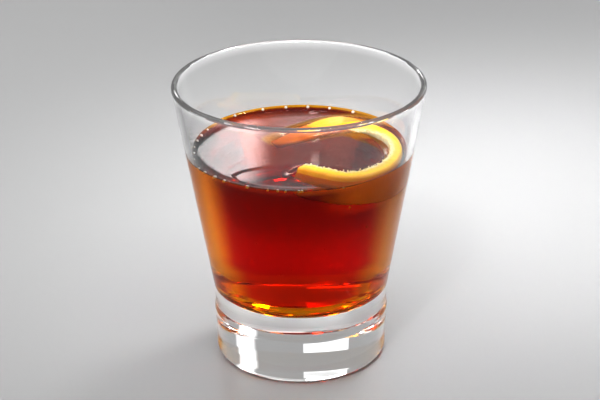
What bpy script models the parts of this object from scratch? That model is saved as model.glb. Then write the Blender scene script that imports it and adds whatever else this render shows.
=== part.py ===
"""Old fashioned cocktail in a heavy-footed conical tumbler, with a strip of orange peel.

Three separate pieces, each one closed body in metres with +Z up:
  tumbler      clear glass, turned: solid foot, conical wall, rounded rim
  drink        the liquid up to its level, turned, with room cut round the peel
  orange_peel  one strip of rind that curls round the right-hand side, part sunk

The origin is the centre of the foot, on the surface that the glass stands on.
"""

import math

import bmesh
import bpy
from mathutils import Vector

MM = 0.001

# Driving dimensions of the glass
GLASS_HEIGHT = 100.6 * MM
RIM_RADIUS = 43.5 * MM
WALL = 2.2 * MM
RIM_ROUND = 1.078 * MM
WAIST_RADIUS = 30.5 * MM
WAIST_TOP = 23.7 * MM
WAIST_BOTTOM = 19.4 * MM
WAIST_ROUND = 20.0 * MM
FOOT_TOP = 16.8 * MM
FOOT_TOP_RADIUS = 30.8 * MM
FOOT_RADIUS = 30.2 * MM
FOOT_TAPER_END = 7.0 * MM
FOOT_ROUND = 6.0 * MM
FOOT_EDGE_ROUND = 2.0 * MM
FLOOR_HEIGHT = 24.2 * MM
FLOOR_DISH = 0.8 * MM
FLOOR_CORNER_ROUND = 9.0 * MM

# Driving dimensions of the drink
LIQUID_LEVEL = 76.0 * MM
GAP = 0.3 * MM

# Driving dimensions of the peel strip
PEEL_THICKNESS = 4.2 * MM
PEEL_EDGE_ROUND = 1.1 * MM
PEEL_STATIONS = 44
PEEL_ACROSS = 4
PEEL_ROUND_STEPS = 2
PEEL_HEADING_REACH = 0.05

TURN_STEPS = 96
ROUND_STEPS = 8
SMALL_ROUND_STEPS = 4
MERGE = 0.00001
CORNER_ANGLE = math.radians(50)

# Middle line of the strip, front end first: x, y, z and the strip's width in millimetres, then
# its bank in degrees, where 0 stands it on edge, zest outward, and 90 lays it flat, zest up.
PEEL_ROUTE = (
    (-0.2, -19.2, 75.2, 6.6, 4.0),
    (2.4, -21.2, 74.6, 8.8, 3.0),
    (8.6, -24.8, 74.2, 9.6, 0.0),
    (15.6, -27.6, 73.9, 10.2, -4.0),
    (22.0, -24.9, 73.4, 11.4, -9.0),
    (28.1, -18.0, 72.6, 13.0, -9.0),
    (32.2, -7.4, 72.4, 13.6, -6.0),
    (31.9, 3.8, 72.8, 13.2, 4.0),
    (28.0, 12.4, 74.2, 12.2, 31.0),
    (22.4, 18.8, 75.4, 11.0, 62.0),
    (15.6, 21.2, 75.6, 10.2, 84.0),
    (8.4, 18.6, 75.0, 9.0, 94.0),
    (1.8, 14.4, 73.7, 8.0, 96.0),
    (-4.2, 11.0, 72.4, 6.6, 96.0),
    (-9.0, 8.4, 71.2, 4.2, 96.0),
)


def clear_scene():
    """Remove every object of the open file."""
    for leftover in list(bpy.data.objects):
        bpy.data.objects.remove(leftover, do_unlink=True)


def new_collection(name):
    """Add an empty collection to the scene."""
    collection = bpy.data.collections.new(name)
    bpy.context.scene.collection.children.link(collection)
    return collection


def principled(name, colour, roughness, metallic=0.0, transmission=0.0, ior=1.45):
    """Make a Principled BSDF material."""
    material = bpy.data.materials.new(name)
    material.use_nodes = True
    shader = material.node_tree.nodes["Principled BSDF"]
    shader.inputs["Base Color"].default_value = (*colour, 1.0)
    shader.inputs["Roughness"].default_value = roughness
    shader.inputs["Metallic"].default_value = metallic
    shader.inputs["Transmission Weight"].default_value = transmission
    shader.inputs["IOR"].default_value = ior
    material.diffuse_color = (*colour, 1.0)
    return material


def fillet(before, corner, after, radius, steps):
    """Return the points of an arc that rounds the corner between two straight lines."""
    corner = Vector(corner)
    back = (Vector(before) - corner).normalized()
    ahead = (Vector(after) - corner).normalized()
    half = back.angle(ahead) / 2.0
    reach = radius / math.tan(half)
    centre = corner + (back + ahead).normalized() * (radius / math.sin(half))
    first = corner + back * reach - centre
    last = corner + ahead * reach - centre
    sweep = first.angle_signed(last)
    points = []
    for step in range(steps + 1):
        angle = -sweep * step / steps
        turned = Vector((
            first.x * math.cos(angle) - first.y * math.sin(angle),
            first.x * math.sin(angle) + first.y * math.cos(angle),
        ))
        points.append(centre + turned)
    return points


def rounded_outline(corners):
    """Round the corners of an open outline given as (radius, height, rounding, steps)."""
    points = []
    for index, (radius, height, rounding, steps) in enumerate(corners):
        if rounding == 0.0:
            points.append(Vector((radius, height)))
            continue
        before = corners[index - 1][:2]
        after = corners[index + 1][:2]
        points.extend(fillet(before, (radius, height), after, rounding, steps))
    return points


def outer_cone_radius(height):
    """Return the outer radius of the conical wall at a height."""
    slope = (RIM_RADIUS - WAIST_RADIUS) / (GLASS_HEIGHT - WAIST_TOP)
    return WAIST_RADIUS + (height - WAIST_TOP) * slope


def inner_cone_radius(height):
    """Return the inner radius of the conical wall at a height."""
    return outer_cone_radius(height) - WALL


def inner_outline(inset, top):
    """Return the bowl's inside from the middle of its floor up to a height, moved in by inset."""
    floor = FLOOR_HEIGHT + inset
    corners = (
        (0.0, floor - FLOOR_DISH, 0.0, 0),
        (inner_cone_radius(floor) - inset, floor, FLOOR_CORNER_ROUND - inset, ROUND_STEPS),
        (inner_cone_radius(top) - inset, top, 0.0, 0),
    )
    return rounded_outline(corners)


def tumbler_outline():
    """Return the glass outline: up the inside, over the rim, down the outside, across the base."""
    corners = (
        (inner_cone_radius(FLOOR_HEIGHT), FLOOR_HEIGHT, 0.0, 0),
        (inner_cone_radius(GLASS_HEIGHT), GLASS_HEIGHT, RIM_ROUND, ROUND_STEPS // 2),
        (outer_cone_radius(GLASS_HEIGHT), GLASS_HEIGHT, RIM_ROUND, ROUND_STEPS // 2),
        (WAIST_RADIUS, WAIST_TOP, WAIST_ROUND, SMALL_ROUND_STEPS),
        (WAIST_RADIUS, WAIST_BOTTOM, FOOT_ROUND, SMALL_ROUND_STEPS // 2),
        (FOOT_TOP_RADIUS, FOOT_TOP, FOOT_ROUND, SMALL_ROUND_STEPS // 2),
        (FOOT_RADIUS, FOOT_TAPER_END, FOOT_ROUND, SMALL_ROUND_STEPS // 2),
        (FOOT_RADIUS, 0.0, FOOT_EDGE_ROUND, SMALL_ROUND_STEPS),
        (0.0, 0.0, 0.0, 0),
    )
    bowl = inner_outline(0.0, GLASS_HEIGHT)[:-1]
    return bowl + rounded_outline(corners)[1:]


def drink_outline():
    """Return the drink's outline: its level from the axis outward, then down inside the bowl."""
    bowl = inner_outline(GAP, LIQUID_LEVEL)
    bowl.reverse()
    return [Vector((0.0, LIQUID_LEVEL))] + bowl


def turned(name, outline, collection, material):
    """Spin an outline about the Z axis into one closed body."""
    mesh = bpy.data.meshes.new(name)
    points = [(point.x, 0.0, point.y) for point in outline]
    edges = [(index, index + 1) for index in range(len(points) - 1)]
    mesh.from_pydata(points, edges, [])
    piece = bpy.data.objects.new(name, mesh)
    collection.objects.link(piece)
    screw = piece.modifiers.new("Turn", "SCREW")
    screw.axis = "Z"
    screw.steps = TURN_STEPS
    screw.render_steps = TURN_STEPS
    screw.use_merge_vertices = True
    screw.merge_threshold = MERGE
    screw.use_smooth_shade = True
    mesh.materials.append(material)
    return piece


def spline(points, place):
    """Read a smooth curve through a list of value tuples at a place, one unit for each span."""
    span = min(int(place), len(points) - 2)
    t = place - span
    before = points[max(span - 1, 0)]
    after = points[min(span + 2, len(points) - 1)]
    values = []
    for p0, p1, p2, p3 in zip(before, points[span], points[span + 1], after):
        linear = (p2 - p0) * t
        square = (2 * p0 - 5 * p1 + 4 * p2 - p3) * t ** 2
        cube = (3 * p1 - p0 - 3 * p2 + p3) * t ** 3
        values.append((2 * p1 + linear + square + cube) / 2)
    return values


def peel_point(along, across, clearance):
    """Return a point on the strip's middle sheet: along from 0 to 1, across from -1 to 1."""
    place = along * (len(PEEL_ROUTE) - 1)
    x, y, z, width, bank = spline(PEEL_ROUTE, place)
    ahead = Vector(spline(PEEL_ROUTE, min(place + PEEL_HEADING_REACH, len(PEEL_ROUTE) - 1))[:3])
    behind = Vector(spline(PEEL_ROUTE, max(place - PEEL_HEADING_REACH, 0.0))[:3])
    tangent = (ahead - behind).normalized()
    outward = tangent.cross(Vector((0.0, 0.0, 1.0))).normalized()
    upright = outward.cross(tangent)
    angle = math.radians(bank)
    rise = upright * math.cos(angle) - outward * math.sin(angle)
    beyond_end = tangent * clearance * (2.0 * along - 1.0)
    half_width = width * MM / 2.0 + clearance
    return Vector((x, y, z)) * MM + beyond_end + rise * half_width * across


def peel_strip(name, collection, clearance):
    """Bend a flat grid along the route and thicken it about its middle sheet."""
    mesh = bpy.data.meshes.new(name)
    sheet = bmesh.new()
    bmesh.ops.create_grid(sheet, x_segments=PEEL_STATIONS, y_segments=PEEL_ACROSS, size=1.0)
    for corner in sheet.verts:
        along = (corner.co.x + 1.0) / 2.0
        corner.co = peel_point(along, corner.co.y, clearance)
    sheet.to_mesh(mesh)
    sheet.free()
    piece = bpy.data.objects.new(name, mesh)
    collection.objects.link(piece)
    thicken = piece.modifiers.new("Thickness", "SOLIDIFY")
    thicken.thickness = PEEL_THICKNESS + 2.0 * clearance
    thicken.offset = 0.0
    return piece


def round_edges(piece):
    """Round the strip's long edges and its two ends."""
    rounding = piece.modifiers.new("Rounded edges", "BEVEL")
    rounding.width = PEEL_EDGE_ROUND
    rounding.segments = PEEL_ROUND_STEPS
    rounding.limit_method = "ANGLE"
    rounding.angle_limit = CORNER_ANGLE
    for face in piece.data.polygons:
        face.use_smooth = True


def build():
    """Build the three pieces and the cutter that makes room for the peel."""
    clear_scene()
    parts = new_collection("old_fashioned_cocktail")
    cutters = new_collection("cutters")

    glass = principled("clear_glass", (0.96, 0.98, 0.97), 0.02, transmission=1.0, ior=1.52)
    liquid = principled("amber_liquid", (0.42, 0.03, 0.005), 0.03, transmission=0.6, ior=1.35)
    rind = principled("orange_rind", (0.95, 0.55, 0.03), 0.45)

    turned("tumbler", tumbler_outline(), parts, glass)
    drink = turned("drink", drink_outline(), parts, liquid)

    peel = peel_strip("orange_peel", parts, 0.0)
    peel.data.materials.append(rind)
    round_edges(peel)

    room = peel_strip("peel_room", cutters, GAP)
    room.hide_render = True
    room.display_type = "WIRE"
    cut = drink.modifiers.new("Room for the peel", "BOOLEAN")
    cut.operation = "DIFFERENCE"
    cut.solver = "EXACT"
    cut.object = room


build()
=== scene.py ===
"""Looks of an old fashioned cocktail: a footed tumbler, its amber drink and an orange peel."""

import logging
import math
import random
from collections.abc import Callable
from dataclasses import astuple, dataclass, field
from enum import Enum

import bmesh
import bpy
from mathutils import Matrix, Vector, kdtree, noise


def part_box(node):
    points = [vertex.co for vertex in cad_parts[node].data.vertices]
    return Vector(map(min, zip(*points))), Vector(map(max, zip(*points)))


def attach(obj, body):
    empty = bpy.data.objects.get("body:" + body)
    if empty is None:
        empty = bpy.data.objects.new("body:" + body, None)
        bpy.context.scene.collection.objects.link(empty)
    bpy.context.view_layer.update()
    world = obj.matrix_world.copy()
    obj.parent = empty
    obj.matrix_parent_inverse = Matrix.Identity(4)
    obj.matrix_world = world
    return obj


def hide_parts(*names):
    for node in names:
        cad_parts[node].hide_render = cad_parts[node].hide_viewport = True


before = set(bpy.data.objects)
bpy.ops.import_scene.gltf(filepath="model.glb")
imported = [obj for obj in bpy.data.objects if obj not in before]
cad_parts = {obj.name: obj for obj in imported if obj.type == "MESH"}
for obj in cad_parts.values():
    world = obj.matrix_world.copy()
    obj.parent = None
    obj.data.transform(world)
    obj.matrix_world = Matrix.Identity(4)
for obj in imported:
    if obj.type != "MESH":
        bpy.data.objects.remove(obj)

LOG = logging.getLogger("cocktail")
MM = 0.001
BODY = "root"
TURN_STEPS = 288
SUPPORT_REACH = 0.03 * MM
LONG_SHARE = 0.1
ROW_HEIGHT = 2.5 * MM
MERGE_REACH = 0.001 * MM
HAIR = 0.01 * MM
KEY_DIGITS = 5
SHARP_ANGLE = math.radians(50.0)
WHITE = (1.0, 1.0, 1.0, 1.0)
CALM_TINT = (1.0, 0.06)
MOTTLE = "Mottle"
MOTTLE_INPUTS = ("Patch Scale", "Grain Scale", "Low", "High")
MOTTLE_OUTPUTS = ("Patches", "Grain", "Value")
PATCH_DETAIL = 3.0
GRAIN_DETAIL = 2.0
PATCH_SPAN = (0.15, 0.85)

Material = bpy.types.Material
Piece = bpy.types.Object
Socket = bpy.types.NodeSocket
Colour = tuple[float, float, float]
Span = tuple[float, float]
Spots = list[tuple[Vector, float]]


class Slot(Enum):
    """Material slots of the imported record."""

    GLASS = "clear_glass"
    LIQUID = "amber_liquid"
    RIND = "orange_rind"


class Mark(Enum):
    """Values from 0 to 1 that pieces keep on their points, for their materials to read.

    CALM takes the sheen off, SHALLOW says that little drink is behind, DEEP grows with the depth
    under the level and fades out the drink's painted shade near the top, RIM grows towards the
    glass's rim and sets where it glows as painted light, and DEPTH runs from zest to pith.
    """

    CALM = "calm"
    SHALLOW = "shallow"
    DEEP = "deep"
    RIM = "rim"
    DEPTH = "depth"


# ----- Meshes -----


def link_mesh(name: str, work: bmesh.types.BMesh, smooth: bool = True) -> Piece:
    """Turn a finished bmesh into an object of the scene, and free it.

    Args:
        name: Name of the new object and its mesh.
        work: The bmesh.
        smooth: Whether its faces are shaded smooth.

    Returns:
        The new object.
    """
    mesh = bpy.data.meshes.new(name)
    work.to_mesh(mesh)
    work.free()
    piece = bpy.data.objects.new(name, mesh)
    bpy.context.scene.collection.objects.link(piece)
    if smooth:
        mesh.shade_smooth()
    return piece


def hold_corners(outline: list[Vector]) -> list[Vector]:
    """Add points to every long part: close to both ends, so that its shading stays even, and rows.

    Args:
        outline: Points as (radius, height).

    Returns:
        The outline with the added points.
    """
    held = [outline[0]]
    for before, point in zip(outline, outline[1:]):
        length = (point - before).length
        share = SUPPORT_REACH / max(length, SUPPORT_REACH)
        if share < LONG_SHARE:
            rows = math.ceil(length / ROW_HEIGHT)
            inner = [row / rows for row in range(1, rows)]
            held += [before.lerp(point, place) for place in (share, *inner, 1.0 - share)]
        held.append(point)
    return held


def lathe(name: str, outline: list[Vector]) -> Piece:
    """Spin an outline that starts and ends on the axis into a closed body.

    Args:
        name: Name of the new object.
        outline: Points as (radius, height), running down the body's outer side.

    Returns:
        The new object.
    """
    work = bmesh.new()
    ring = [work.verts.new((point.x, 0.0, point.y)) for point in hold_corners(outline)]
    edges = [work.edges.new(pair) for pair in zip(ring, ring[1:])]
    bmesh.ops.spin(
        work, geom=ring + edges, cent=(0, 0, 0), axis=(0, 0, 1), angle=2 * math.pi,
        steps=TURN_STEPS, use_merge=True,
    )
    bmesh.ops.remove_doubles(work, verts=work.verts[:], dist=MERGE_REACH)
    bmesh.ops.recalc_face_normals(work, faces=work.faces[:])
    piece = link_mesh(name, work)
    piece.data.set_sharp_from_angle(angle=SHARP_ANGLE)
    return piece


def ease(value: float, start: float, end: float) -> float:
    """Return 0 before the start, 1 after the end and a smooth step between them."""
    share = min(1.0, max(0.0, (value - start) / (end - start)))
    return share * share * (3.0 - 2.0 * share)


def keep(piece: Piece, kind: Mark, value_at: Callable[[Vector], float]) -> None:
    """Keep a value on every point of a piece.

    Args:
        piece: The piece.
        kind: Which value it is.
        value_at: Function that gives the value at a point.
    """
    marks = piece.data.attributes.new(kind.value, "FLOAT", "POINT")
    for corner, kept in zip(piece.data.vertices, marks.data):
        kept.value = value_at(corner.co)


def nearest_of(spots: list[Vector]) -> kdtree.KDTree:
    """Build the tree that finds the nearest of some points.

    Args:
        spots: The points.

    Returns:
        The tree.
    """
    tree = kdtree.KDTree(len(spots))
    for index, spot in enumerate(spots):
        tree.insert(spot, index)
    tree.balance()
    return tree


@dataclass
class Outline:
    """The outline of a turned node, from the middle of its inside floor round to its base."""

    points: list[Vector]

    @classmethod
    def of_node(cls, node: str) -> "Outline":
        """Read a turned node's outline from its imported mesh.

        Args:
            node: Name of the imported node.

        Returns:
            Its outline as (radius, height) points.
        """
        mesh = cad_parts[node].data
        exact = {}
        keys = []
        for corner in mesh.vertices:
            radius, height = math.hypot(corner.co.x, corner.co.y), corner.co.z
            key = (round(radius, KEY_DIGITS), round(height, KEY_DIGITS))
            exact.setdefault(key, Vector((radius, height)))
            keys.append(key)
        joined: dict[tuple[float, float], set[tuple[float, float]]] = {}
        for edge in mesh.edges:
            first, second = (keys[index] for index in edge.vertices)
            if first != second:
                joined.setdefault(first, set()).add(second)
                joined.setdefault(second, set()).add(first)
        here = max((key for key in joined if key[0] == 0.0), key=lambda key: key[1])
        walked = [here]
        while True:
            onward = [key for key in joined[here] if key not in walked]
            if not onward:
                break
            here = min(onward, key=lambda key: math.dist(key, here))
            walked.append(here)
        points = [exact[key] for key in walked]
        if walked[-1][0] > 0.0:
            points.append(Vector((0.0, points[-1].y)))
        return cls(points)

    def inside(self, top: float, grow: float) -> list[Vector]:
        """Return the inner side from the floor's middle up to a height, moved into the wall.

        Args:
            top: Height to stop at.
            grow: Distance that the side is moved outward.

        Returns:
            The points, the last one at the height given.
        """
        side = [Vector((0.0, self.points[0].y - grow))]
        for before, point, after in zip(self.points, self.points[1:], self.points[2:]):
            normal = self.normal(before, point)
            if point.y >= top:
                share = (top - before.y) / (point.y - before.y)
                side.append(before.lerp(point, share) + normal * grow)
                return side
            corner = (normal + self.normal(point, after)).normalized()
            side.append(point + corner * grow / corner.dot(normal))
        raise ValueError(f"no inner wall at {top}")

    @staticmethod
    def normal(before: Vector, point: Vector) -> Vector:
        """Return the direction into the wall from the part between two points."""
        along = (point - before).normalized()
        return Vector((along.y, -along.x))

    def inner_radius(self, height: float) -> float:
        """Return the bowl's inner radius at a height.

        Args:
            height: The height, taken as the inside floor's where it is under it.

        Returns:
            The radius.
        """
        height = max(height, self.points[0].y)
        for before, point in zip(self.points, self.points[1:]):
            if before.y <= height <= point.y and point.y > before.y:
                share = (height - before.y) / (point.y - before.y)
                return before.x + (point.x - before.x) * share
        raise ValueError(f"no inner wall at {height}")


# ----- Node groups and finishes -----


@dataclass
class NodeDesk:
    """Helpers that add nodes to a node tree."""

    tree: bpy.types.NodeTree

    def node(self, kind: str, **values: float) -> bpy.types.Node:
        """Add a node and set its inputs by name, with underscores for spaces.

        Args:
            kind: Type of the node.
            **values: Input values.

        Returns:
            The new node.
        """
        made = self.tree.nodes.new(kind)
        for key, value in values.items():
            made.inputs[key.replace("_", " ")].default_value = value
        return made

    def link(self, source: Socket, target: Socket) -> None:
        """Join two sockets."""
        self.tree.links.new(source, target)

    def combine(self, operation: str, *values: Socket | float) -> Socket:
        """Add a Math node.

        Args:
            operation: What the node does.
            *values: Its inputs, each a socket or a number.

        Returns:
            The socket that gives the result.
        """
        made = self.tree.nodes.new("ShaderNodeMath")
        made.operation = operation
        for value, target in zip(values, made.inputs):
            if isinstance(value, Socket):
                self.link(value, target)
            else:
                target.default_value = value
        return made.outputs["Value"]

    def spread(
        self, value: Socket, taken: Span, given: Span = (0.0, 1.0), smooth: bool = False
    ) -> Socket:
        """Add a Map Range node.

        Args:
            value: Socket that gives the value.
            taken: The two values it runs between.
            given: What they become.
            smooth: Whether it steps smoothly between them.

        Returns:
            The socket that gives the result.
        """
        made = self.node(
            "ShaderNodeMapRange", From_Min=taken[0], From_Max=taken[1], To_Min=given[0],
            To_Max=given[1],
        )
        if smooth:
            made.interpolation_type = "SMOOTHSTEP"
        self.link(value, made.inputs["Value"])
        return made.outputs["Result"]

    def mix(self, share: Socket, first: Colour | Socket, second: Colour) -> Socket:
        """Mix two colours.

        Args:
            share: Socket that gives the second colour's share.
            first: The first colour, or a socket that gives it.
            second: The second colour.

        Returns:
            The socket that gives the mixed colour.
        """
        made = self.tree.nodes.new("ShaderNodeMix")
        made.data_type = "RGBA"
        self.link(share, made.inputs["Factor"])
        if isinstance(first, Socket):
            self.link(first, made.inputs["A"])
        else:
            made.inputs["A"].default_value = (*first, 1.0)
        made.inputs["B"].default_value = (*second, 1.0)
        return made.outputs["Result"]

    def ramp(self, value: Socket, stops: tuple[tuple[float, Colour], ...]) -> Socket:
        """Add a colour ramp.

        Args:
            value: Socket that gives the place on the ramp.
            stops: Place and colour of each stop, from low to high.

        Returns:
            The socket that gives the colour.
        """
        made = self.tree.nodes.new("ShaderNodeValToRGB")
        kept = made.color_ramp.elements
        kept[0].position = stops[0][0]
        kept[1].position = stops[-1][0]
        for place, _ in stops[1:-1]:
            kept.new(place)
        for stop, (_, colour) in zip(kept, stops):
            stop.color = (*colour, 1.0)
        self.link(value, made.inputs["Fac"])
        return made.outputs["Color"]


def mottle_group() -> bpy.types.NodeTree:
    """Build the node group that gives soft uneven patches and a fine grain, once.

    Returns:
        The node group.
    """
    if MOTTLE in bpy.data.node_groups:
        return bpy.data.node_groups[MOTTLE]
    group = bpy.data.node_groups.new(MOTTLE, "ShaderNodeTree")
    for way, names in (("INPUT", MOTTLE_INPUTS), ("OUTPUT", MOTTLE_OUTPUTS)):
        for each in names:
            group.interface.new_socket(each, in_out=way, socket_type="NodeSocketFloat")
    desk = NodeDesk(group)
    enter = desk.node("NodeGroupInput")
    leave = desk.node("NodeGroupOutput")
    place = desk.node("ShaderNodeTexCoord")
    patches = desk.node("ShaderNodeTexNoise", Detail=PATCH_DETAIL)
    grain = desk.node("ShaderNodeTexNoise", Detail=GRAIN_DETAIL)
    for texture, scale in ((patches, "Patch Scale"), (grain, "Grain Scale")):
        desk.link(place.outputs["Object"], texture.inputs["Vector"])
        desk.link(enter.outputs[scale], texture.inputs["Scale"])
    value = desk.spread(patches.outputs["Fac"], PATCH_SPAN, smooth=True)
    for name, target in (("Low", "To Min"), ("High", "To Max")):
        desk.link(enter.outputs[name], value.node.inputs[target])
    given = (patches.outputs["Fac"], grain.outputs["Fac"], value)
    for name, source in zip(MOTTLE_OUTPUTS, given):
        desk.link(source, leave.inputs[name])
    return group


@dataclass
class MaterialDesk(NodeDesk):
    """A new material with its Principled shader, and the nodes that several finishes use."""

    tree: bpy.types.NodeTree = field(init=False)
    name: str
    material: Material = field(init=False)
    shader: bpy.types.Node = field(init=False)
    output: bpy.types.Node = field(init=False)

    def __post_init__(self) -> None:
        """Create the material."""
        self.material = bpy.data.materials.new(self.name)
        self.material.use_nodes = True
        self.tree = self.material.node_tree
        self.shader = self.tree.nodes["Principled BSDF"]
        self.output = self.tree.nodes["Material Output"]

    def set(self, **values: float | tuple[float, ...]) -> None:
        """Set inputs of the Principled shader by name, with underscores for spaces."""
        for key, value in values.items():
            self.shader.inputs[key.replace("_", " ")].default_value = value

    def feed(self, name: str, source: Socket) -> None:
        """Lead a socket into the Principled shader's input of that name."""
        self.link(source, self.shader.inputs[name])

    def mottle(self, patch: float, grain: float, span: Span = (0.0, 1.0)) -> bpy.types.Node:
        """Add the mottle group.

        Args:
            patch: Scale of the patches.
            grain: Scale of the grain.
            span: Lowest and highest value given out.

        Returns:
            The group's node.
        """
        made = self.tree.nodes.new("ShaderNodeGroup")
        made.node_tree = mottle_group()
        for name, value in zip(MOTTLE_INPUTS, (patch, grain, *span)):
            made.inputs[name].default_value = value
        return made

    def mark(self, kind: Mark) -> Socket:
        """Read a value that the piece keeps on its points.

        Args:
            kind: Which value it is.

        Returns:
            The socket that gives it.
        """
        made = self.tree.nodes.new("ShaderNodeAttribute")
        made.attribute_name = kind.value
        return made.outputs["Fac"]

    def calm_sheen(self) -> None:
        """Take the sheen off where the piece is marked calm."""
        self.feed("Specular Tint", self.spread(self.mark(Mark.CALM), (0.0, 1.0), CALM_TINT))

    def bump(self, height: Socket, distance: float, strength: float = 1.0) -> None:
        """Bump the surface.

        Args:
            height: Socket that gives the height.
            distance: Height of the bumps in metres.
            strength: Strength of the bumps.
        """
        made = self.node("ShaderNodeBump", Distance=distance, Strength=strength)
        self.link(height, made.inputs["Height"])
        self.feed("Normal", made.outputs["Normal"])


@dataclass(frozen=True)
class GlassFinish:
    """Clear fire-polished glass with a slightly uneven surface.

    The rounded rim gathers light from all round the room into a pale line. Only a little of it
    is left in a plain studio, so a faint glow stands in for the rest.
    """

    ior: float = 1.51
    patch: float = 45.0
    grain: float = 260.0
    roughness: Span = (0.006, 0.016)
    wave_height: float = 0.01 * MM
    rim_glow: float = 0.10

    def material(self) -> Material:
        """Build the glass material.

        Returns:
            The material.
        """
        desk = MaterialDesk("clear_glass")
        desk.set(
            Base_Color=WHITE, Transmission_Weight=1.0, IOR=self.ior, Metallic=0.0,
            Emission_Strength=self.rim_glow,
        )
        smear = desk.mottle(self.patch, self.grain, self.roughness)
        desk.feed("Roughness", smear.outputs["Value"])
        desk.bump(smear.outputs["Patches"], self.wave_height)
        desk.calm_sheen()
        # Painted light: the marked rim glows faintly, in place of the light it would gather.
        desk.feed("Emission Color", desk.mark(Mark.RIM))
        return desk.material


@dataclass(frozen=True)
class LiquidFinish:
    """Clear red-amber spirit: gold where it is thin, deep red where it is thick.

    Red light passes almost freely, so three channels alone turn too evenly brown. The rest of the
    change is a tint on the drink's outside. It goes from surface, a painted shade of darker red
    at and just under the level, to thick, farther down. It turns to thin where the wetted wall is
    seen aslant, and where the peel is close behind or the drink climbs the wall.

    The slant runs from straight to aslant, and that of a ray that leaves the drink counts as many
    times as leaving says. Passed is the colour that the drink itself lets through.
    """

    ior: float = 1.35
    density: float = 300.0
    passed: Colour = (0.98, 0.95, 0.0)
    thick: Colour = (0.74, 0.005, 0.0)
    # surface is painted shade: a darker red on the top and just under the level than thick.
    surface: Colour = (0.22, 0.006, 0.004)
    thin: Colour = (1.0, 0.50, 0.02)
    straight: float = 0.14
    aslant: float = 0.245
    leaving: float = 2.3
    patch: float = 30.0
    grain: float = 300.0
    roughness: Span = (0.004, 0.012)
    ripple_height: float = 0.01 * MM

    def material(self) -> Material:
        """Build the drink's material.

        Returns:
            The material.
        """
        desk = MaterialDesk("amber_liquid")
        desk.set(Transmission_Weight=1.0, IOR=self.ior, Metallic=0.0)
        ripple = desk.mottle(self.patch, self.grain, self.roughness)
        desk.feed("Roughness", ripple.outputs["Value"])
        desk.bump(ripple.outputs["Patches"], self.ripple_height)
        desk.calm_sheen()
        self.tint_outside(desk)
        depth = desk.node(
            "ShaderNodeVolumeAbsorption", Density=self.density, Color=(*self.passed, 1.0)
        )
        desk.link(depth.outputs["Volume"], desk.output.inputs["Volume"])
        return desk.material

    def tint_outside(self, desk: MaterialDesk) -> None:
        """Tint the drink's outside by its depth, its slant and what is close behind it.

        Args:
            desk: The material's desk.
        """
        view = desk.node("ShaderNodeLayerWeight", Blend=0.5)
        inside = desk.node("ShaderNodeNewGeometry").outputs["Backfacing"]
        counted = desk.spread(inside, (0.0, 1.0), (1.0, self.leaving))
        evened = desk.combine("MULTIPLY", view.outputs["Facing"], counted)
        slant = desk.spread(evened, (self.straight, self.aslant), smooth=True)
        wetted = desk.combine("MULTIPLY", slant, desk.mark(Mark.CALM))
        pale = desk.combine("MAXIMUM", wetted, desk.mark(Mark.SHALLOW))
        # Painted shade: the darker surface colour near the level, fading to thick with depth.
        deep = desk.mix(desk.mark(Mark.DEEP), self.surface, self.thick)
        desk.feed("Base Color", desk.mix(pale, deep, self.thin))


@dataclass(frozen=True)
class RindFinish:
    """Orange rind: waxy pored zest outside, yellow flesh of the zest, then cream pith.

    Layers are the depths of the five colours, from 0 on the zest to 1 on the pith, and skin is
    where the waxy coat ends. Pore_share is how much the pores count beside the grain.
    """

    zest: Colour = (0.96, 0.44, 0.003)
    zest_pale: Colour = (1.0, 0.55, 0.006)
    flesh: Colour = (1.0, 0.62, 0.02)
    pith: Colour = (0.92, 0.58, 0.08)
    pith_white: Colour = (0.93, 0.78, 0.46)
    layers: tuple[float, ...] = (0.10, 0.26, 0.42, 0.66, 1.0)
    layer_shift: float = 0.16
    patch: float = 420.0
    grain: float = 1500.0
    skin: Span = (0.12, 0.3)
    shine: float = 0.6
    roughness: Span = (0.6, 0.34)
    pore_scale: float = 850.0
    pore_share: float = 0.7
    pore_height: float = 0.12 * MM
    pore_strength: float = 0.6

    def material(self) -> Material:
        """Build the rind's material, coloured by the depth kept on the mesh.

        Returns:
            The material.
        """
        desk = MaterialDesk("orange_rind")
        desk.set(
            Metallic=0.0, Subsurface_Weight=0.35, Subsurface_Scale=1.0 * MM,
            Subsurface_Radius=(3.0, 1.6, 0.4), Coat_Roughness=0.12, Specular_IOR_Level=0.5,
        )
        depth = desk.mark(Mark.DEPTH)
        grain = desk.mottle(self.patch, self.grain).outputs["Grain"]
        shifted = desk.combine("MULTIPLY_ADD", grain, self.layer_shift, depth)
        colours = (self.zest, self.zest_pale, self.flesh, self.pith, self.pith_white)
        desk.feed("Base Color", desk.ramp(shifted, tuple(zip(self.layers, colours))))

        waxy = desk.spread(depth, self.skin, (1.0, 0.0))
        desk.feed("Coat Weight", desk.combine("MULTIPLY", waxy, self.shine))
        desk.feed("Roughness", desk.spread(waxy, (0.0, 1.0), self.roughness))

        place = desk.node("ShaderNodeTexCoord")
        pores = desk.node("ShaderNodeTexVoronoi", Scale=self.pore_scale)
        desk.link(place.outputs["Object"], pores.inputs["Vector"])
        relief = desk.combine("MULTIPLY_ADD", pores.outputs["Distance"], self.pore_share, grain)
        desk.bump(relief, self.pore_height, self.pore_strength)
        return desk.material


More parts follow.
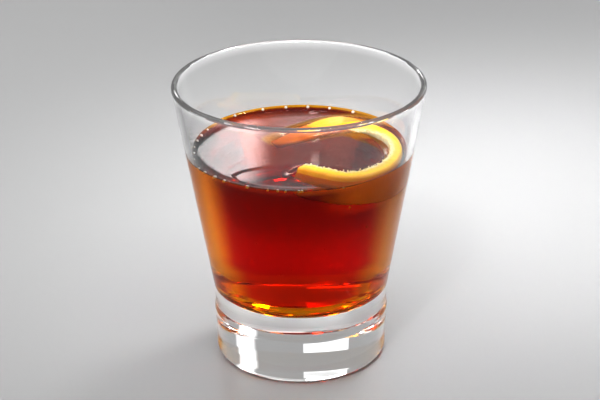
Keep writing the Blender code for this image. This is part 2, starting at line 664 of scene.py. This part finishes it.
@dataclass(frozen=True)
class FibreFinish:
    """Wet threads of pith, mottled from a soaked colour to a pale one."""

    soaked: Colour = (0.93, 0.70, 0.30)
    pale: Colour = (0.95, 0.84, 0.60)
    places: Span = (0.3, 0.6)
    patch: float = 300.0
    grain: float = 2200.0
    roughness: Span = (0.35, 0.6)
    grain_height: float = 0.05 * MM

    def material(self) -> Material:
        """Build the fibres' material.

        Returns:
            The material.
        """
        desk = MaterialDesk("pith_fibre")
        desk.set(
            Metallic=0.0, Subsurface_Weight=0.4, Subsurface_Scale=0.6 * MM,
            Subsurface_Radius=(2.0, 1.6, 1.0),
        )
        mottle = desk.mottle(self.patch, self.grain, self.roughness)
        stops = tuple(zip(self.places, (self.soaked, self.pale)))
        desk.feed("Base Color", desk.ramp(mottle.outputs["Patches"], stops))
        desk.feed("Roughness", mottle.outputs["Value"])
        desk.bump(mottle.outputs["Grain"], self.grain_height)
        return desk.material


@dataclass(frozen=True)
class BubbleFinish:
    """A bubble of air, or a film at the surface; its white share is a painted highlight."""

    name: str
    ior: float
    clear: float
    # Painted highlight: the white, diffuse share stands in for the bubble's bright reflections.
    colour: Colour = (1.0, 0.98, 0.94)
    patch: float = 700.0
    grain: float = 2500.0
    roughness: Span = (0.0, 0.05)

    def material(self) -> Material:
        """Build the bubble's material.

        Returns:
            The material.
        """
        desk = MaterialDesk(self.name)
        desk.set(
            Base_Color=(*self.colour, 1.0), Transmission_Weight=self.clear, IOR=self.ior,
            Metallic=0.0,
        )
        film = desk.mottle(self.patch, self.grain, self.roughness)
        desk.feed("Roughness", film.outputs["Value"])
        return desk.material


@dataclass(frozen=True)
class FloorFinish:
    """Plain pale studio floor with a faint grain."""

    colour: Colour = (0.34, 0.34, 0.343)
    grain_share: float = 0.97
    patch: float = 8.0
    grain: float = 900.0
    roughness: float = 0.3

    def material(self) -> Material:
        """Build the floor's material.

        Returns:
            The material.
        """
        desk = MaterialDesk("studio_floor")
        desk.set(Roughness=self.roughness)
        grain = desk.mottle(self.patch, self.grain).outputs["Grain"]
        darker = tuple(channel * self.grain_share for channel in self.colour)
        desk.feed("Base Color", desk.ramp(grain, ((0.0, darker), (1.0, self.colour))))
        return desk.material


# ----- Tumbler -----


@dataclass
class Tumbler:
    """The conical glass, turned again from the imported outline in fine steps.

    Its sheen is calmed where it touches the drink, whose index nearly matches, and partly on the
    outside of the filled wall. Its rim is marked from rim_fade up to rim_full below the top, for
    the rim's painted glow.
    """

    calm_outside: float = 0.85
    calm_fade: float = 5.0 * MM
    wall_slack: float = 0.02 * MM
    rim_fade: float = 2.6 * MM
    rim_full: float = 0.3 * MM
    finish: GlassFinish = field(default_factory=GlassFinish)
    outline: Outline = field(default_factory=lambda: Outline.of_node("tumbler"))
    level: float = field(default_factory=lambda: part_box("drink")[1].z)

    def calm_at(self, spot: Vector) -> float:
        """Return how far the sheen is calmed at a point of the glass.

        Args:
            spot: The point.

        Returns:
            The share, from 0 to 1.
        """
        floor = self.outline.points[0].y
        radius = math.hypot(spot.x, spot.y)
        if not floor - HAIR <= spot.z <= self.level + self.calm_fade:
            return 0.0
        if radius <= self.outline.inner_radius(spot.z) + self.wall_slack:
            return 1.0 if spot.z <= self.level else 0.0
        low = ease(spot.z, floor, floor + self.calm_fade)
        high = ease(spot.z, self.level + self.calm_fade, self.level - self.calm_fade)
        return self.calm_outside * low * high

    def build(self) -> None:
        """Build the glass and hang it on the frame."""
        glass = lathe("tumbler_glass", self.outline.points)
        top = max(point.y for point in self.outline.points)
        keep(glass, Mark.CALM, self.calm_at)
        # RIM sets where the glass glows as painted light.
        keep(glass, Mark.RIM, lambda spot: ease(spot.z, top - self.rim_fade, top - self.rim_full))
        glass.data.materials.append(self.finish.material())
        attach(glass, BODY)
        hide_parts("tumbler")
        LOG.info("%s: %d faces", glass.name, len(glass.data.polygons))


# ----- Orange peel -----


@dataclass(frozen=True)
class PeelStation:
    """One place on the strip's middle line.

    The strip stands on edge with its zest outward at a bank of 0 degrees, and lies flat with its
    zest up at 90. Lengths are in millimetres.
    """

    x: float
    y: float
    z: float
    width: float
    bank: float


@dataclass(frozen=True)
class Waves:
    """Soft noise on the peel: its waves to the millimetre, and its height in millimetres."""

    fine: float
    high: float

    def at(self, spot: Vector) -> float:
        """Return its height at a spot given in millimetres."""
        return noise.noise(spot * self.fine) * self.high


@dataclass(frozen=True)
class Fringe:
    """How many torn threads the pith has, and the ranges they are drawn from.

    Place and depth say where a thread sits, inset how close to the edge, the next three how far
    it leans up, away from the zest and along the strip. Length and thick are in millimetres.
    """

    count: int = 260
    seed: int = 11
    place: Span = (0.01, 0.80)
    depth: Span = (0.62, 1.0)
    inset: Span = (0.93, 0.99)
    upward: Span = (0.1, 0.9)
    away: Span = (0.3, 1.3)
    onward: Span = (-0.9, 0.9)
    length: Span = (0.35, 1.0)
    thick: Span = (0.14, 0.34)
    wide: Span = (0.7, 1.6)
    narrow: float = 0.7
    out: float = 0.4
    tip: float = 0.35
    sides: int = 7


@dataclass
class OrangePeel:
    """The strip of peel that curls round the right-hand side of the drink.

    Its ends are rounded over cap_reach of its length, down to cap_least of its section.
    """

    thickness: float = 4.2 * MM
    edge_round: float = 1.1 * MM
    round_share: float = 0.9
    along_steps: int = 300
    around_steps: int = 88
    slope_step: float = 0.05
    cap_reach: float = 0.012
    cap_least: float = 0.28
    cap_depth: float = 0.6
    pore_waves: float = 0.75
    pore_edge: float = 0.8
    pore_middle: float = 0.5
    pore_high: float = 0.10
    swell: Waves = Waves(0.22, 0.175)
    rough: tuple[Waves, Waves] = (Waves(1.1, 0.30), Waves(2.6, 0.18))
    ragged: Waves = Waves(1.7, 0.55)
    ragged_shift: tuple[float, float, float] = (9.0, 4.0, 2.0)
    top_power: int = 6
    fringe: Fringe = field(default_factory=Fringe)
    finish: RindFinish = field(default_factory=RindFinish)
    fibre_finish: FibreFinish = field(default_factory=FibreFinish)
    route: tuple[PeelStation, ...] = tuple(PeelStation(*row) for row in (
        (-0.2, -19.2, 75.2, 6.6, 4.0),
        (2.4, -21.2, 74.6, 8.8, 3.0),
        (8.6, -24.8, 74.2, 9.6, 0.0),
        (15.6, -27.6, 73.9, 10.2, -4.0),
        (22.0, -24.9, 73.4, 11.4, -9.0),
        (28.1, -18.0, 72.6, 13.0, -9.0),
        (32.2, -7.4, 72.4, 13.6, -6.0),
        (31.9, 3.8, 72.8, 13.2, 4.0),
        (28.0, 12.4, 74.2, 12.2, 31.0),
        (22.4, 18.8, 75.4, 11.0, 62.0),
        (15.6, 21.2, 75.6, 10.2, 84.0),
        (8.4, 18.6, 75.0, 9.0, 94.0),
        (1.8, 14.4, 73.7, 8.0, 96.0),
        (-4.2, 11.0, 72.4, 6.6, 96.0),
        (-9.0, 8.4, 71.2, 4.2, 96.0),
    ))

    def read_route(self, place: float) -> list[float]:
        """Read a smooth curve through the stations.

        Args:
            place: Place on the route, one unit for each span.

        Returns:
            x, y, z, width and bank there.
        """
        points = [astuple(station) for station in self.route]
        span = min(int(place), len(points) - 2)
        t = place - span
        before = points[max(span - 1, 0)]
        after = points[min(span + 2, len(points) - 1)]
        values = []
        for p0, p1, p2, p3 in zip(before, points[span], points[span + 1], after):
            linear = (p2 - p0) * t
            square = (2 * p0 - 5 * p1 + 4 * p2 - p3) * t**2
            cube = (3 * p1 - p0 - 3 * p2 + p3) * t**3
            values.append((2 * p1 + linear + square + cube) / 2)
        return values

    def section(self, along: float) -> tuple[Vector, Vector, Vector, Vector, float]:
        """Return where the strip is at a fraction of its length, and how it stands.

        Args:
            along: Fraction of the length, from 0 at the front end to 1.

        Returns:
            The middle point, then the directions along the strip, across it towards its top
            edge and out of its zest, then half its width.
        """
        last = len(self.route) - 1
        place = along * last
        x, y, z, width, bank = self.read_route(place)
        ahead = Vector(self.read_route(min(place + self.slope_step, last))[:3])
        behind = Vector(self.read_route(max(place - self.slope_step, 0.0))[:3])
        tangent = (ahead - behind).normalized()
        outward = tangent.cross(Vector((0.0, 0.0, 1.0))).normalized()
        upright = outward.cross(tangent)
        angle = math.radians(bank)
        rise = upright * math.cos(angle) - outward * math.sin(angle)
        zestward = outward * math.cos(angle) + upright * math.sin(angle)
        return Vector((x, y, z)) * MM, tangent, rise, zestward, width * MM / 2.0

    def ring(self, half_width: float) -> list[Vector]:
        """Return the strip's rounded section as (across, out) points, evenly spaced.

        Args:
            half_width: Half the width of the strip there.

        Returns:
            The points, turning from one edge of the zest face across it and round.
        """
        radius = min(self.edge_round, half_width * self.round_share)
        flats = (half_width - radius, self.thickness / 2.0 - radius)
        sides = [2.0 * flat + radius * math.pi / 2.0 for flat in flats]
        points = []
        for index in range(self.around_steps):
            rest = 2.0 * sum(sides) * index / self.around_steps
            side = 0
            while rest > sides[side % 2]:
                rest -= sides[side % 2]
                side += 1
            flat, out = flats[side % 2], flats[1 - side % 2]
            angle = max(0.0, rest - 2.0 * flat) / radius
            along = min(rest - flat, flat) + radius * math.sin(angle)
            local = Vector((along, out + radius * math.cos(angle)))
            points.append(Matrix.Rotation(-side * math.pi / 2.0, 2) @ local)
        return points

    def end_scale(self, along: float) -> float:
        """Return how far the section shrinks towards an end, to round the cap.

        Args:
            along: Fraction of the length.

        Returns:
            The scale, 1 away from the ends.
        """
        near = min(along, 1.0 - along) / self.cap_reach
        if near >= 1.0:
            return 1.0
        rounded = math.sqrt(max(0.0, 1.0 - (1.0 - near) ** 2))
        return rounded * (1.0 - self.cap_least) + self.cap_least

    def relief(self, point: Vector, depth: float, top: float) -> float:
        """Return how far the surface stands out from the plain strip at a point.

        Args:
            point: The point in metres.
            depth: 0 on the zest and 1 on the pith.
            top: 1 on the strip's top edge, 0 away from it.

        Returns:
            The distance in metres.
        """
        spot = point / MM
        pores = noise.voronoi(spot * self.pore_waves)[0][0]
        zest = (min(pores, self.pore_edge) - self.pore_middle) * self.pore_high
        pith = sum(waves.at(spot) for waves in self.rough)
        ragged = self.ragged.at(spot + Vector(self.ragged_shift) / self.ragged.fine) * top
        return (zest * (1.0 - depth) + self.swell.at(spot) + (pith + ragged) * depth) * MM

    def build_strip(self) -> Piece:
        """Build the strip's skin, with its depth from zest to pith kept on every point.

        Returns:
            The strip.
        """
        work = bmesh.new()
        layer = work.verts.layers.float.new(Mark.DEPTH.value)
        rings = []
        for step in range(self.along_steps + 1):
            along = step / self.along_steps
            middle, _, rise, zestward, half_width = self.section(along)
            scale = self.end_scale(along)
            ring = []
            for across, out in self.ring(half_width):
                depth = 0.5 - out / self.thickness
                top = max(0.0, across / half_width) ** self.top_power
                spot = middle + rise * across * scale + zestward * out * scale
                away = (rise * across / half_width + zestward * out / self.thickness).normalized()
                corner = work.verts.new(spot + away * self.relief(spot, depth, top))
                corner[layer] = depth
                ring.append(corner)
            rings.append(ring)
        count = self.around_steps
        for first, second in zip(rings, rings[1:]):
            for index in range(count):
                after = (index + 1) % count
                work.faces.new((first[index], first[after], second[after], second[index]))
        for ring in (rings[0], rings[-1]):
            centre = work.verts.new(sum((corner.co for corner in ring), Vector()) / count)
            centre[layer] = self.cap_depth
            for index in range(count):
                work.faces.new((ring[index], ring[(index + 1) % count], centre))
        bmesh.ops.recalc_face_normals(work, faces=work.faces[:])
        return link_mesh("peel_strip", work)

    def build_fringe(self) -> Piece:
        """Build the torn threads of pith along the strip's inner edges.

        Returns:
            The threads as one piece.
        """
        fringe = self.fringe
        draw = random.Random(fringe.seed)
        work = bmesh.new()
        for _ in range(fringe.count):
            middle, tangent, rise, zestward, half_width = self.section(draw.uniform(*fringe.place))
            out = self.thickness * (0.5 - draw.uniform(*fringe.depth))
            root = middle + rise * half_width * draw.uniform(*fringe.inset) + zestward * out
            lean = (
                rise * draw.uniform(*fringe.upward) - zestward * draw.uniform(*fringe.away)
                + tangent * draw.uniform(*fringe.onward)
            ).normalized()
            length = draw.uniform(*fringe.length) * MM
            thick = draw.uniform(*fringe.thick) * MM
            turn = lean.to_track_quat("Z", "Y").to_matrix().to_4x4()
            flat = Matrix.Diagonal((draw.uniform(*fringe.wide), fringe.narrow, 1.0, 1.0))
            place = Matrix.Translation(root + lean * length * fringe.out) @ turn @ flat
            bmesh.ops.create_cone(
                work, cap_ends=True, segments=fringe.sides, radius1=thick,
                radius2=thick * fringe.tip, depth=length, matrix=place,
            )
        piece = link_mesh("pith_fringe", work)
        rounding = piece.modifiers.new("Soft threads", "SUBSURF")
        rounding.levels = rounding.render_levels = 1
        return piece

    def build(self) -> Piece:
        """Build the peel and hang it on the frame.

        Returns:
            The strip.
        """
        strip = self.build_strip()
        strip.data.materials.append(self.finish.material())
        fringe = self.build_fringe()
        fringe.data.materials.append(self.fibre_finish.material())
        for piece in (strip, fringe):
            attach(piece, BODY)
            LOG.info("%s: %d faces", piece.name, len(piece.data.polygons))
        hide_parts("orange_peel")
        return strip


# ----- Drink -----


@dataclass
class Drink:
    """The liquid, which climbs a little at the glass and at the peel, and its bubbles.

    Lengths named near and far say how close the peel has to be for the tint to be quite pale, and
    where it ends. The bubbles at the surface sit at the angles given, in degrees; the ranges of
    the other bubbles are in millimetres and degrees.
    """

    glass: Outline
    peel: Piece
    level: float = field(init=False)
    into_wall: float = 0.08 * MM
    wall_climb: float = 1.3 * MM
    wall_reach: float = 1.5 * MM
    peel_band: float = 0.6 * MM
    peel_climb: float = 0.8 * MM
    peel_reach: float = 1.1 * MM
    peel_near: float = 1.5 * MM
    peel_far: float = 10.0 * MM
    peel_pale: float = 0.9
    wall_stretch: Vector = field(default_factory=lambda: Vector((1.0, 1.0, 4.0)))
    surface_near: float = 1.5 * MM
    surface_far: float = 5.0 * MM
    climb_start: float = 0.6 * MM
    climb_end: float = 1.0 * MM
    deep_start: float = 9.0 * MM
    deep_end: float = 32.0 * MM
    surface_rings: int = 90
    surface_crowd: float = 1.35
    seed: int = 5
    rim_turns: tuple[float, ...] = (
        129.0, 111.0, 97.5, 85.0, 72.5, 58.0, -152.0, -146.0, -138.0, -131.0, -117.0, -106.0,
        -101.0, -97.0, -90.5, -89.0, -68.0, 142.0, 154.0, 163.0, 171.0, 180.0, -172.0, -164.0,
    )
    rim_radius: Span = (0.34, 0.62)
    rim_height: float = 0.75 * MM
    rim_gap: float = 1.05
    sunken_count: int = 14
    sunken_depth: Span = (4.0, 40.0)
    sunken_radius: Span = (0.22, 0.45)
    sunken_turn: Span = (-160.0, -40.0)
    sunken_gap: float = 1.3
    finish: LiquidFinish = field(default_factory=LiquidFinish)
    # Both kinds are partly white: painted highlights, mostly on the surface bubbles.
    film: BubbleFinish = BubbleFinish("bubble_film", 1.33, 0.25)
    air: BubbleFinish = BubbleFinish("bubble_air", 0.75, 0.6)

    def __post_init__(self) -> None:
        """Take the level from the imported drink."""
        self.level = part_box("drink")[1].z

    def surface_outline(self) -> list[Vector]:
        """Return the surface's outline from the axis out to the wall.

        Returns:
            The points as (radius, height).
        """
        top = self.level + self.wall_climb
        edge = self.glass.inner_radius(top) + self.into_wall
        points = []
        for step in range(self.surface_rings):
            share = step / self.surface_rings
            radius = edge * (1.0 - (1.0 - share) ** self.surface_crowd)
            rise = self.wall_climb * math.exp(-(edge - radius) / self.wall_reach)
            points.append(Vector((radius, self.level + rise)))
        return points

    def climb_peel(self, liquid: Piece) -> None:
        """Raise the surface a little where it meets the peel.

        Args:
            liquid: The drink's body.
        """
        corners = [corner.co for corner in self.peel.data.vertices]
        near = [spot for spot in corners if abs(spot.z - self.level) < self.peel_band]
        flat = nearest_of([Vector((spot.x, spot.y, 0.0)) for spot in near])
        for corner in liquid.data.vertices:
            if corner.co.z < self.level - HAIR:
                continue
            away = flat.find((corner.co.x, corner.co.y, 0.0))[2]
            corner.co.z += self.peel_climb * math.exp(-away / self.peel_reach)

    def shallow_map(self) -> Callable[[Vector], float]:
        """Return the function that tells how thin the drink is under a point of its outside.

        It is thin where the peel is close behind and where it climbs the wall. Seen through the
        wall, heights count more than distances, so that the peel's lower edge shows.

        Returns:
            The function, which takes a point and gives a value from 0 to 1.
        """
        corners = [corner.co for corner in self.peel.data.vertices]
        plain = nearest_of(corners)
        stretched = nearest_of([spot * self.wall_stretch for spot in corners])

        def shallow_at(spot: Vector) -> float:
            """Tell how thin the drink is under a point.

            Args:
                spot: The point.

            Returns:
                The value, 1 where it is thinnest.
            """
            if spot.z < self.level - HAIR:
                away = stretched.find(spot * self.wall_stretch)[2]
                return self.peel_pale * ease(away, self.peel_far, self.peel_near)
            climbed = ease(spot.z - self.level, self.climb_start, self.climb_end)
            away = plain.find(spot)[2]
            return max(climbed, ease(away, self.surface_far, self.surface_near))

        return shallow_at

    def build_liquid(self) -> Piece:
        """Build the drink's body from its surface down the inside of the glass.

        Returns:
            The drink's body.
        """
        surface = self.surface_outline()
        side = self.glass.inside(self.level + self.wall_climb, self.into_wall)
        side.reverse()
        liquid = lathe("drink_liquid", surface + side)
        rim = surface[-1].x + 0.5 * self.into_wall
        keep(liquid, Mark.CALM, lambda spot: float(
            spot.z < self.level - HAIR or math.hypot(spot.x, spot.y) > rim
        ))
        keep(liquid, Mark.SHALLOW, self.shallow_map())
        # DEEP fades the painted shade near the level into the thick colour farther down.
        keep(liquid, Mark.DEEP, lambda spot: ease(
            self.level - spot.z, self.deep_start, self.deep_end
        ))
        self.climb_peel(liquid)
        liquid.data.materials.append(self.finish.material())
        return liquid

    def build_bubbles(self, name: str, finish: BubbleFinish, spots: Spots) -> Piece:
        """Build one piece that holds small round bubbles.

        Args:
            name: Name of the piece.
            finish: Its finish.
            spots: Centre and radius of each bubble.

        Returns:
            The piece.
        """
        work = bmesh.new()
        for centre, radius in spots:
            place = Matrix.Translation(centre)
            bmesh.ops.create_icosphere(work, subdivisions=3, radius=radius, matrix=place)
        piece = link_mesh(name, work)
        piece.data.materials.append(finish.material())
        return piece

    def by_wall(self, degrees: float, height: float, gap: float) -> Vector:
        """Return a point inside the glass.

        Args:
            degrees: Its direction from the axis.
            height: Its height.
            gap: Its distance from the wall.

        Returns:
            The point.
        """
        reach = self.glass.inner_radius(height) - gap
        turn = math.radians(degrees)
        return Vector((reach * math.cos(turn), reach * math.sin(turn), height))

    def rim_spots(self) -> Spots:
        """Return the bubbles that sit where the surface meets the glass.

        Returns:
            Centre and radius of each.
        """
        draw = random.Random(self.seed)
        height = self.level + self.rim_height
        spots = []
        for degrees in self.rim_turns:
            radius = draw.uniform(*self.rim_radius) * MM
            spots.append((self.by_wall(degrees, height, radius * self.rim_gap), radius))
        return spots

    def sunken_spots(self) -> Spots:
        """Return the bubbles that cling to the inside of the wall, under the surface.

        Returns:
            Centre and radius of each.
        """
        draw = random.Random(self.seed + 1)
        spots = []
        for _ in range(self.sunken_count):
            height = self.level - draw.uniform(*self.sunken_depth) * MM
            radius = draw.uniform(*self.sunken_radius) * MM
            degrees = draw.uniform(*self.sunken_turn)
            spots.append((self.by_wall(degrees, height, radius * self.sunken_gap), radius))
        return spots

    def build(self) -> None:
        """Build the drink and its bubbles and hang them on the frame."""
        liquid = self.build_liquid()
        film = self.build_bubbles("surface_bubbles", self.film, self.rim_spots())
        air = self.build_bubbles("sunken_bubbles", self.air, self.sunken_spots())
        for piece in (liquid, film, air):
            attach(piece, BODY)
            LOG.info("%s: %d faces", piece.name, len(piece.data.polygons))
        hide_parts("drink")


# ----- Studio -----


@dataclass(frozen=True)
class SoftBox:
    """One soft rectangular light, with the angle it spreads over in degrees."""

    name: str
    place: tuple[float, float, float]
    target: tuple[float, float, float]
    width: float
    height: float
    power: float
    spread: float

    def build(self) -> None:
        """Add the light to the scene."""
        light = bpy.data.lights.new(self.name, "AREA")
        light.shape = "RECTANGLE"
        light.size = self.width
        light.size_y = self.height
        light.energy = self.power
        light.spread = math.radians(self.spread)
        lamp = bpy.data.objects.new(self.name, light)
        bpy.context.scene.collection.objects.link(lamp)
        lamp.location = self.place
        facing = Vector(self.target) - Vector(self.place)
        lamp.rotation_euler = facing.to_track_quat("-Z", "Y").to_euler()


@dataclass(frozen=True)
class Window:
    """One soft-edged bright area of the room's walls, with angles in degrees.

    Azimuth 0 is straight behind the glass and grows to the right.
    """

    left: float
    right: float
    low: float
    high: float
    soft: float
    strength: float

    def add_to(self, desk: NodeDesk, azimuth: Socket, height: Socket) -> Socket:
        """Add the window to the world's nodes.

        Args:
            desk: The world's desk.
            azimuth: Socket that gives the azimuth in degrees.
            height: Socket that gives the elevation in degrees.

        Returns:
            The socket that gives its brightness.
        """
        edges = (
            (azimuth, self.left, self.soft), (azimuth, self.right, -self.soft),
            (height, self.low, self.soft), (height, self.high, -self.soft),
        )
        glow = self.strength
        for source, start, reach in edges:
            span = (start - reach / 2.0, start + reach / 2.0)
            glow = desk.combine("MULTIPLY", desk.spread(source, span, smooth=True), glow)
        return glow


@dataclass
class Studio:
    """Floor, room, soft lights and camera."""

    focal_mm: float = 102.0
    sensor_mm: float = 36.0
    distance: float = 0.59317
    elevation: float = math.radians(24.607)
    aim_height: float = 0.05633
    roll: float = math.radians(-0.537)
    floor_drop: float = 0.3 * MM
    floor_half: float = 3.0
    bounces: int = 24
    front_glow: float = 0.65
    back_glow: float = 0.30
    glow_span: Span = (-0.7, 0.7)
    windows: tuple[Window, ...] = (
        Window(-24.0, -2.3, 21.7, 25.6, 1.8, 4.8),
        Window(-2.5, 3.0, 20.2, 22.3, 1.0, 1.1),
        Window(-26.0, -1.0, 26.4, 28.2, 0.8, 0.6),
        Window(-1.5, 38.0, 8.0, 25.0, 3.0, 0.45),
        Window(26.0, 41.0, 6.0, 37.0, 4.0, 0.7),
        Window(-100.0, -48.0, 37.0, 70.0, 8.0, 1.1),
    )
    boxes: tuple[SoftBox, ...] = (
        SoftBox("pool_box", (0.42, 0.44, 0.60), (0.19, 0.21, 0.0), 0.24, 0.24, 0.11, 50.0),
        SoftBox("near_box", (0.25, 0.35, 0.70), (0.08, 0.12, 0.0), 0.18, 0.18, 0.20, 30.0),
        SoftBox("key_box", (-0.55, -0.60, 0.50), (0.0, 0.0, 0.06), 0.20, 0.20, 0.03, 30.0),
        SoftBox("front_box", (-0.25, -0.75, 0.95), (0.0, 0.02, 0.07), 0.16, 0.16, 0.035, 13.0),
        SoftBox("strip_box", (0.0, -0.53, 1.08), (0.0, 0.0, 0.08), 1.10, 0.08, 3.0, 150.0),
    )

    def build_floor(self) -> None:
        """Build the floor as a wide grid."""
        work = bmesh.new()
        bmesh.ops.create_grid(work, x_segments=8, y_segments=8, size=self.floor_half)
        floor = link_mesh("studio_floor", work, smooth=False)
        floor.location.z = -self.floor_drop
        floor.data.materials.append(FloorFinish().material())

    def build_room(self) -> None:
        """Light the room: brighter in front, dimmer behind the glass, with soft windows."""
        world = bpy.data.worlds.new("studio_room")
        world.use_nodes = True
        desk = NodeDesk(world.node_tree)
        place = desk.node("ShaderNodeTexCoord")
        apart = desk.node("ShaderNodeSeparateXYZ")
        desk.link(place.outputs["Generated"], apart.inputs["Vector"])
        across, ahead, upward = (apart.outputs[axis] for axis in "XYZ")
        turn = desk.combine("ARCTAN2", across, ahead)
        azimuth = desk.combine("DEGREES", turn)
        height = desk.combine("DEGREES", desk.combine("ARCSINE", upward))
        glow = desk.spread(ahead, self.glow_span, (self.front_glow, self.back_glow), smooth=True)
        for window in self.windows:
            glow = desk.combine("ADD", glow, window.add_to(desk, azimuth, height))
        background = desk.tree.nodes["Background"]
        background.inputs["Color"].default_value = WHITE
        desk.link(glow, background.inputs["Strength"])
        bpy.context.scene.world = world

    def build_camera(self) -> None:
        """Place the camera in front of the glass, looking down on it."""
        right = Vector((1.0, 0.0, 0.0))
        above = Vector((0.0, math.sin(self.elevation), math.cos(self.elevation)))
        ahead = Vector((0.0, math.cos(self.elevation), -math.sin(self.elevation)))
        rolled_right = right * math.cos(self.roll) + above * math.sin(self.roll)
        rolled_up = above * math.cos(self.roll) - right * math.sin(self.roll)
        place = Matrix((rolled_right, rolled_up, -ahead)).transposed().to_4x4()
        place.translation = Vector((0.0, 0.0, self.aim_height)) - ahead * self.distance
        data = bpy.data.cameras.new("camera")
        data.lens = self.focal_mm
        data.sensor_width = self.sensor_mm
        camera = bpy.data.objects.new("camera", data)
        bpy.context.scene.collection.objects.link(camera)
        camera.matrix_world = place
        bpy.context.scene.camera = camera

    def build(self) -> None:
        """Build the whole studio."""
        self.build_floor()
        self.build_room()
        self.build_camera()
        for box in self.boxes:
            box.build()
        scene = bpy.context.scene
        scene.view_settings.view_transform = "Standard"
        scene.view_settings.look = "High Contrast"
        scene.cycles.max_bounces = self.bounces
        scene.cycles.transmission_bounces = self.bounces
        scene.cycles.transparent_max_bounces = self.bounces
        scene.cycles.glossy_bounces = self.bounces // 2


def main() -> None:
    """Build every piece in order."""
    logging.basicConfig(level=logging.INFO, format="%(name)s %(message)s")
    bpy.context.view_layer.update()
    tumbler = Tumbler()
    tumbler.build()
    peel = OrangePeel().build()
    Drink(glass=tumbler.outline, peel=peel).build()
    Studio().build()


if __name__ == "__main__":
    main()
